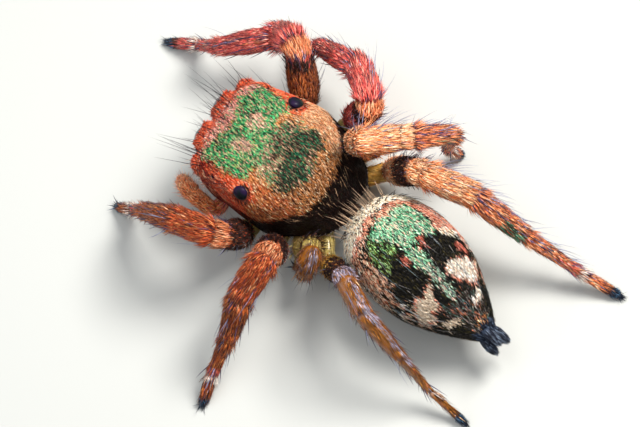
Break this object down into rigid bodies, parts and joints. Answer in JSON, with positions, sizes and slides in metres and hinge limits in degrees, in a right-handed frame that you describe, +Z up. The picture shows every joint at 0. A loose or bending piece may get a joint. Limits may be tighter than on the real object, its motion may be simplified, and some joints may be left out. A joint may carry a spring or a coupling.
{
  "type": "carrhotus jumping spider, still life-size model",
  "caption": "Still, life-size jumping spider with green and tan scaly head shield, patterned abdomen and bristly orange legs, standing on its feet.",
  "frame": {"origin": "on the floor, at the middle of the box around the whole animal", "axes": "+Z up from the floor the spider stands on; the head looks along -Y, the abdomen's tail is towards +Y, and the animal's left side is +X"},
  "size_m": [0.0062, 0.0092, 0.0021],
  "materials": {
    "shield": "matt, scaly",
    "abdomen": "matt, scaly",
    "leg": "satin, hairy",
    "hip": "satin, hairy",
    "underside": "satin",
    "jaw": "gloss",
    "eye": "high gloss",
    "tail": "satin"
  },
  "bodies": {
    "root": {"carapace": "shield", "abdomen": "abdomen", "waist": "underside", "sternum": "underside", "mouth_lobes": "underside", "tail_knob": "tail", "chelicera_left": "jaw", "fang_left": "jaw", "palp_left": "leg", "spinneret_left": "tail", "eye_front_middle_left": "eye", "eye_front_side_left": "eye", "eye_small_left": "eye", "eye_rear_left": "eye", "leg_1_left_coxa": "hip", "leg_1_left_femur": "leg", "leg_1_left_shin": "leg", "leg_1_left_foot": "leg", "leg_2_left_coxa": "hip", "leg_2_left_femur": "leg", "leg_2_left_shin": "leg", "leg_2_left_foot": "leg", "leg_3_left_coxa": "hip", "leg_3_left_femur": "leg", "leg_3_left_shin": "leg", "leg_3_left_foot": "leg", "leg_4_left_coxa": "hip", "leg_4_left_femur": "leg", "leg_4_left_shin": "leg", "leg_4_left_foot": "leg", "chelicera_right": "jaw", "fang_right": "jaw", "palp_right": "leg", "spinneret_right": "tail", "eye_front_middle_right": "eye", "eye_front_side_right": "eye", "eye_small_right": "eye", "eye_rear_right": "eye", "leg_1_right_coxa": "hip", "leg_1_right_femur": "leg", "leg_1_right_shin": "leg", "leg_1_right_foot": "leg", "leg_2_right_coxa": "hip", "leg_2_right_femur": "leg", "leg_2_right_shin": "leg", "leg_2_right_foot": "leg", "leg_3_right_coxa": "hip", "leg_3_right_femur": "leg", "leg_3_right_shin": "leg", "leg_3_right_foot": "leg", "leg_4_right_coxa": "hip", "leg_4_right_femur": "leg", "leg_4_right_shin": "leg", "leg_4_right_foot": "leg"}
  },
  "joints": []
}
